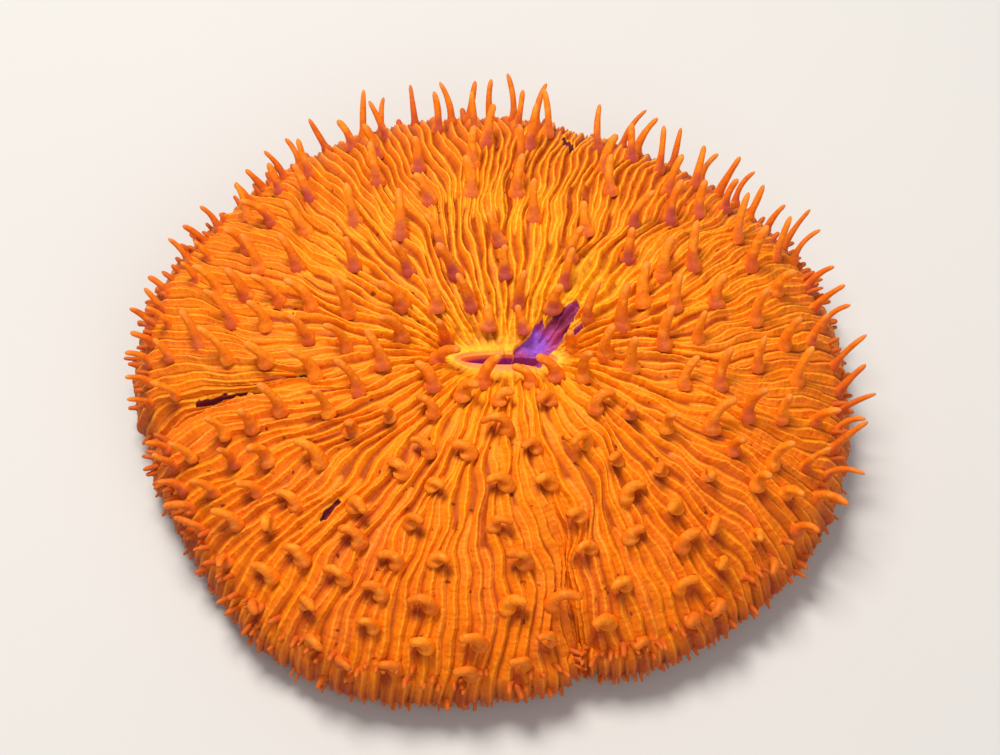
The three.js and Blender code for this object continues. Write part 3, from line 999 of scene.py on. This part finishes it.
# Colours of the ridged flesh, red, green and blue from 0 to 255
skinColours = {
    # grooveShade is painted shade: the flesh between the ridges darkens to it
    "grooveShade": (156, 60, 6),
    "flank": (236, 120, 4),
    "flankPink": (228, 110, 28),
    # shade is a darker flesh tone: random mottles, and painted shade in the wrinkles and on the far
    # side
    "shade": (204, 86, 8),
    # goldenAndLit is the flesh's own yellower tone round the mouth, with painted light on the top of
    # the dome
    "goldenAndLit": (250, 152, 14),
    "fleck": (248, 148, 28),
    # crest is the yellower flesh along each crest with a painted highlight on it
    "crest": (255, 186, 40),
    # glow is a painted glow, partly the flesh's own yellow
    "glow": (255, 192, 22),
    # rim and rimGrooveShadeAndNicks are painted shade on the rim, partly its own redder tone; the
    # darker one also colours the nicks
    "rim": (178, 70, 14),
    "rimGrooveShadeAndNicks": (84, 24, 8),
    # foot is a dark blotch at a tentacle's foot, with painted shadow under the near arches
    "foot": (146, 42, 20),
    "lip": (250, 142, 78),
    "lipEdge": (255, 204, 50),
    "throat": (168, 62, 150),
    "bone": (172, 72, 130),
    "boneBlue": (146, 84, 196),
    "boneDark": (124, 38, 50),
    "scar": (112, 34, 46),
    "tornEdge": (255, 190, 46),
}
# Wrinkles across the folds: how many from the mouth to the rim, how they wander, and how deep
wrinkles = {"waves": 48, "wander": 15, "depth": 0.35}

# The painted glow beside the mouth, partly the flesh's own yellow, and the parts of the big tear:
# middle in millimetres and reach
spots = {
    "glow": ((7.4, 7.2, 13), 6.5),
    "blue": ((3.4, 2.4, 13), 2.1),
    "dark": ((6.6, 4.4, 13), 2.6),
    "tear": ((4.6, 2.6, 13), 6.5),
}


def makeTissue():
    graph = Graph("coral_tissue")
    crest, fold, band, rim = [graph.value(key) for key in ("crest", "fold", "band", "rim")]
    radius, torn, ahead, spot = [graph.value(key) for key in ("radius", "torn", "ahead", "spot")]
    coarse = graph.mottle(5) - 0.5
    medium = graph.mottle(1.6)
    fine = graph.mottle(0.5, 3.0)
    grain = graph.mottle(0.2)
    wavering = radius * (turn * wrinkles["waves"]) + graph.mottle(1.4) * wrinkles["wander"]
    wave = graph.maths("SINE", wavering, 0) * 0.5 + 0.5
    patches = medium - 0.5
    grit = fine - 0.5

    # Painted shade: the flesh darkens towards the grooves between the ridges, a little less on the
    # near side
    depth = fold.between(0.0, 0.9 - 0.35 * ahead) + grit * 0.5 + 0.12 * ahead
    flesh = graph.paint("flank", skinColours, [
        (band * 1.4 - 0.55 + coarse * 1.6 + patches * 0.8, "flankPink"),
        (graph.mottle(2.6, 4.0).between(0.5, 0.7) * 0.5, "shade"),
        # random mottles, and painted shade in the wrinkles across the folds
        (fine.between(0.52, 0.66) * 0.45 + wave * fold * 0.16, "shade"),
        (grain.between(0.54, 0.68) * 0.4, "fleck"),
        # painted shade over the far side of the disc
        ((1 - ahead) * radius.between(0.35, 0.8) * 0.3, "shade"),
        # yellower towards the mouth: the flesh's own tone, with painted light on the dome's top
        ((1 - radius.between(0.15, 0.75)) * 0.4, "goldenAndLit"),
        (1 - depth, "grooveShade"),
    ])
    # Painted shade on the rim, darker in its grooves and on the near side; partly the rim's own redder
    # tone
    rimShadeFlesh = graph.paint("rimGrooveShadeAndNicks", skinColours, [
        (fold.between(0.25, 0.9) + grit * 0.5, "rim"),
    ])
    shaded = rim * (0.2 + 0.8 * ahead.between(0.1, 0.75))
    flesh = graph.blend(shaded * (0.55 + 0.6 * medium), flesh, rimShadeFlesh)

    # The bright line along each crest: yellower flesh with a painted highlight, dimmer on the near
    # side and in the rim's painted shade
    line = (crest**1.5 * (0.8 + grit * 1.8) * (0.25 + 1.5 * medium)).clamp()
    # A painted glow round the mouth and beside it, partly the flesh's own yellow
    glow = (1 - radius.between(0.02, 0.3)) * 0.25 + graph.spot(*spots["glow"]) * 0.55
    nicks = graph.mottle(0.9, 1.0).between(0.7, 0.75) * (1 - fold.between(0.35, 0.85))
    brim = radius - 0.02 - ahead * 0.022  # the lip is broader on the near side
    edging = (1 - brim.between(-0.01, 0.016)) * (1.1 - 0.75 * ahead) * (0.3 + medium * fine * 2.2)
    tornEdge = torn.between(0.02, 0.2) * (1 - torn.between(0.35, 0.6))
    flesh = graph.paint(flesh, skinColours, [
        (line * (0.95 - 0.5 * ahead) * (1 - 0.7 * shaded), "crest"),
        (glow * (fine * 2.6 - 0.5), "glow"),
        # the dark blotch at each tentacle's foot, with painted shadow under the near arches
        (spot * (0.9 + grit * 1.2), "foot"),
        # dark nicks, in the colour of the rim's groove shade
        (nicks * 0.8, "rimGrooveShadeAndNicks"),
        (edging, "lipEdge"),
        (1 - (brim + 0.01).between(-0.008, 0.004), "lip"),
        ((1 - radius.between(0.0, 0.01)) * (0.6 - 0.55 * ahead), "lipEdge"),
        (1 - radius.between(-0.1, -0.02), "lip"),
        (1 - radius.between(-0.4, -0.15), "throat"),
        (tornEdge * 0.6, "tornEdge"),
    ])
    bone = graph.paint("bone", skinColours, [
        (graph.spot(*spots["dark"]) * 1.2 + patches * 1.6, "boneDark"),
        (graph.spot(*spots["blue"]) * 1.3 + patches * 1.2, "boneBlue"),
        (1 - graph.spot(*spots["tear"]).between(0.05, 0.2), "scar"),
    ])
    colour = graph.blend(torn.between(0.45, 0.7), flesh, bone)
    bump = fine * 0.5 + grain * 0.25 + wave * fold * wrinkles["depth"]
    return graph.finish(colour, bump, 0.11, 0.46 + 0.2 * fine, fleshFinish, colour)


tentacleColours = {
    "root": (240, 128, 10),
    "shaft": (240, 130, 18),
    "deep": (214, 94, 12),
    "tip": (236, 138, 56),
    "streak": (250, 158, 44),
    # hookTipAndShade is painted shade inside the near arches, and the dark tips of those, partly their
    # own colour and partly painted shadow
    "hookTipAndShade": (142, 42, 22),
    "blotch": (176, 66, 50),
    "oval": (168, 68, 70),
    # rim is the redder tone of the rim's tubes, partly painted shade
    "rim": (186, 80, 24),
}
# The tentacles have the same painted glow
tentacleFinish = {**fleshFinish, "Subsurface Weight": 0.14}


def makeTentacleFlesh():
    graph = Graph("coral_tentacle_flesh")
    along, front, inside, own = [graph.value(key) for key in ("along", "front", "inside", "own")]
    rim, near, far = [graph.value(key) for key in ("rim", "near", "far")]
    soft = graph.mottle(1.2)
    fine = graph.mottle(0.35, 3.0)
    # Painted shade on the inner side of the near arches
    under = near * inside.between(0, 0.9) * along.between(0.15, 0.5)
    blotch = front.between(0.1, 0.9) * (1 - along.between(0.12, 0.4)) * (1 - 0.7 * near)
    oval = front.between(0.2, 0.9) * (1 - along.between(0.2, 0.5)) * far
    colour = graph.paint("root", tentacleColours, [
        (along.between(0, 0.3), "shaft"),
        (own * 0.6 + (soft - 0.5) * 0.9, "deep"),
        (fine.between(0.5, 0.64) * 0.5, "deep"),
        (graph.mottle(0.8, 4.0).between(0.5, 0.64) * 0.45, "streak"),
        # the rim's tubes darker and redder: partly their own tone, partly painted shade
        (rim * (0.95 - 0.25 * along), "rim"),
        (along.between(0.7, 1) * (0.6 - 0.5 * rim) * (1 - near), "tip"),
        (under * (0.5 + 0.4 * own), "hookTipAndShade"),
        (along.between(0.9, 0.99) * near * (0.2 + 0.5 * own), "hookTipAndShade"),
        (blotch * (0.1 + own * 0.6), "blotch"),
        (oval * (0.35 + 0.5 * own), "oval"),
    ])
    bump = soft * 0.4 + fine * 0.6
    return graph.finish(colour, bump, 0.1, 0.42 + 0.2 * fine, tentacleFinish, colour)


tissue, tentacleFlesh = makeTissue(), makeTentacleFlesh()
skinPieces = (marginPiece, rimPiece, crownPiece, undersidePiece)
tubePieces = (tentaclePiece, fingerPiece, toothPiece)
for piece in skinPieces + tubePieces:
    piece.data.materials.append(tissue if piece in skinPieces else tentacleFlesh)
    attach(piece, "root")
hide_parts("coral")
print("materials made")

studio = {
    "floorSize": 3.0,
    "floorColour": (206, 203, 199),
    "floorShade": (190, 187, 183),
    "worldColour": (0.9, 0.93, 1.0),
    "worldStrength": 0.32,
    # place, size, watts, colour
    "lights": [
        ((-0.09, 0.14, 0.44), 0.18, 2.42, (1.0, 0.97, 0.92)),
        ((0.2, -0.42, 0.45), 0.5, 1.0, (1.0, 0.97, 0.94)),
    ],
    "elevation": 62,
    "distance": 0.343,
    "target": (0.0002, 0.0034, 0.0042),
    "lens": 126,
    "sensor": 36,
}


def makeFloor():
    half = studio["floorSize"] / 2
    mesh = bpy.data.meshes.new("floor")
    corners = [(-half, -half, 0), (half, -half, 0), (half, half, 0), (-half, half, 0)]
    mesh.from_pydata(corners, [], [(0, 1, 2, 3)])
    floor = bpy.data.objects.new("floor", mesh)
    bpy.context.scene.collection.objects.link(floor)
    graph = Graph("pale_floor")
    shade = graph.mottle(60, 3.0)
    colour = graph.blend(shade * 0.2, studio["floorColour"], studio["floorShade"])
    mesh.materials.append(graph.finish(colour, shade, 0.05, 0.7 + 0.1 * shade, {}))


def makeLights():
    world = bpy.data.worlds.new("soft_room")
    bpy.context.scene.world = world
    world.use_nodes = True
    background = world.node_tree.nodes["Background"]
    background.inputs["Color"].default_value = (*studio["worldColour"], 1)
    background.inputs["Strength"].default_value = studio["worldStrength"]
    for number, (place, size, watts, colour) in enumerate(studio["lights"]):
        light = bpy.data.lights.new(f"softbox_{number}", "AREA")
        light.shape = "DISK"
        light.size = size
        light.energy = watts
        light.color = colour
        lamp = bpy.data.objects.new(light.name, light)
        lamp.location = place
        lamp.rotation_euler = (-Vector(place)).to_track_quat("-Z", "Y").to_euler()
        bpy.context.scene.collection.objects.link(lamp)


def makeCamera():
    lens = bpy.data.cameras.new("camera")
    lens.sensor_width = studio["sensor"]
    lens.lens = studio["lens"]
    lens.clip_start, lens.clip_end = 0.01, 20
    camera = bpy.data.objects.new("camera", lens)
    angle = math.radians(studio["elevation"])
    back = Vector((0, -math.cos(angle), math.sin(angle)))
    camera.location = Vector(studio["target"]) + back * studio["distance"]
    camera.rotation_euler = (-back).to_track_quat("-Z", "Y").to_euler()
    bpy.context.scene.collection.objects.link(camera)
    bpy.context.scene.camera = camera


makeFloor()
makeLights()
makeCamera()
bpy.context.scene.view_settings.view_transform = "Standard"
print("studio made")
